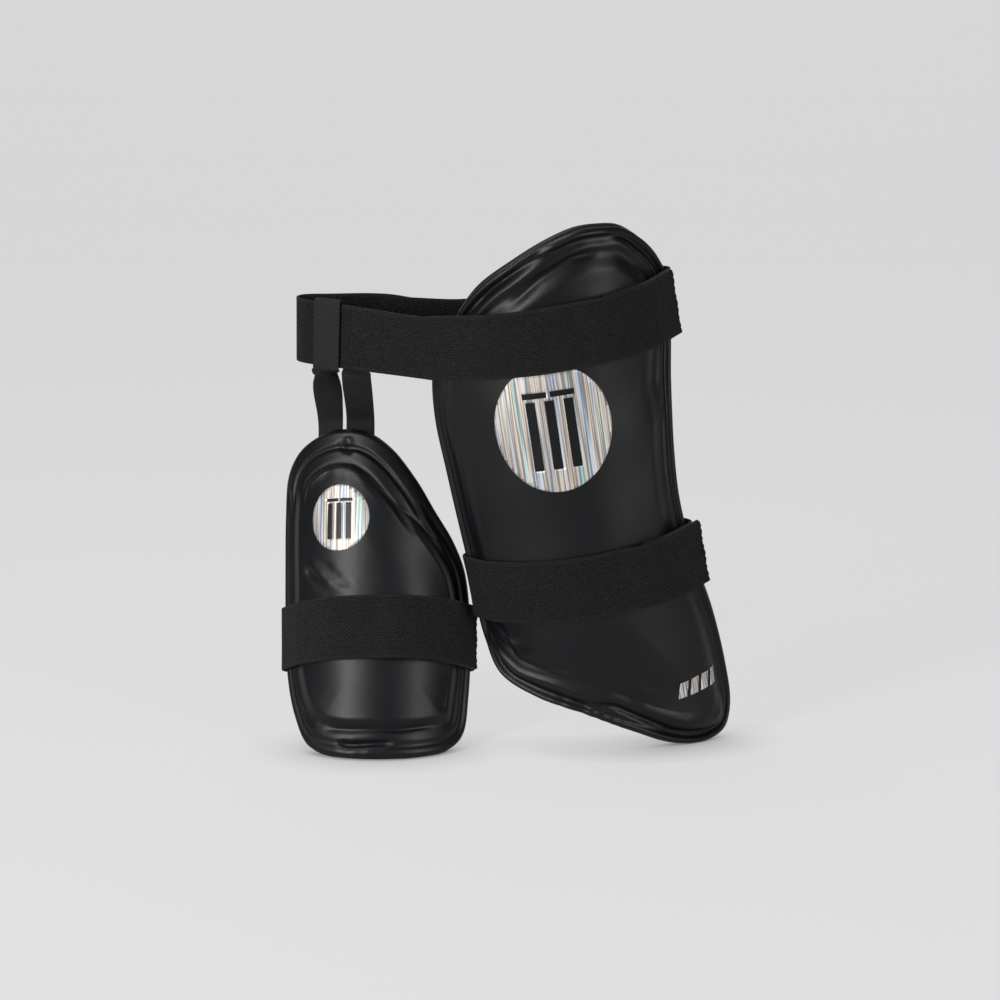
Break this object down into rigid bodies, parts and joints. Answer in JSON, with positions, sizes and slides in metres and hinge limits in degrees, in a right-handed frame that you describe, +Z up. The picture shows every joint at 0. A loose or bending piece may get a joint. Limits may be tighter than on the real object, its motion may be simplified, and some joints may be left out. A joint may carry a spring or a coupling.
{
  "type": "cricket thigh guard",
  "caption": "Batter's combination thigh guard: a long outer guard and a short inner guard, each moulded and strapped, joined by an elastic waist belt with a webbing hanger.",
  "frame": {"origin": "middle of the floor area that the standing guard covers, at floor height", "axes": "+Z up, +X from the inner guard to the outer guard, the guards' outer faces look along -Y"},
  "size_m": [0.3452, 0.1402, 0.4028],
  "materials": {
    "cover": "black polyurethane leather moulded over foam, satin",
    "lining": "black padded lining cloth, matte",
    "elastic": "black woven elastic with fine ribs, matte",
    "hook_tape": "black hook tape, fuzzy",
    "webbing": "black twill webbing, matte"
  },
  "bodies": {
    "root": {"outer_guard_cover": "cover", "outer_guard_lining": "lining", "outer_thigh_strap": "elastic", "outer_strap_hook_tape": "hook_tape", "inner_guard_cover": "cover", "inner_guard_lining": "lining", "inner_thigh_strap": "elastic", "inner_strap_hook_tape": "hook_tape", "waist_belt": "elastic", "waist_belt_hook_tape": "hook_tape", "hanger_loop": "webbing"}
  },
  "joints": []
}
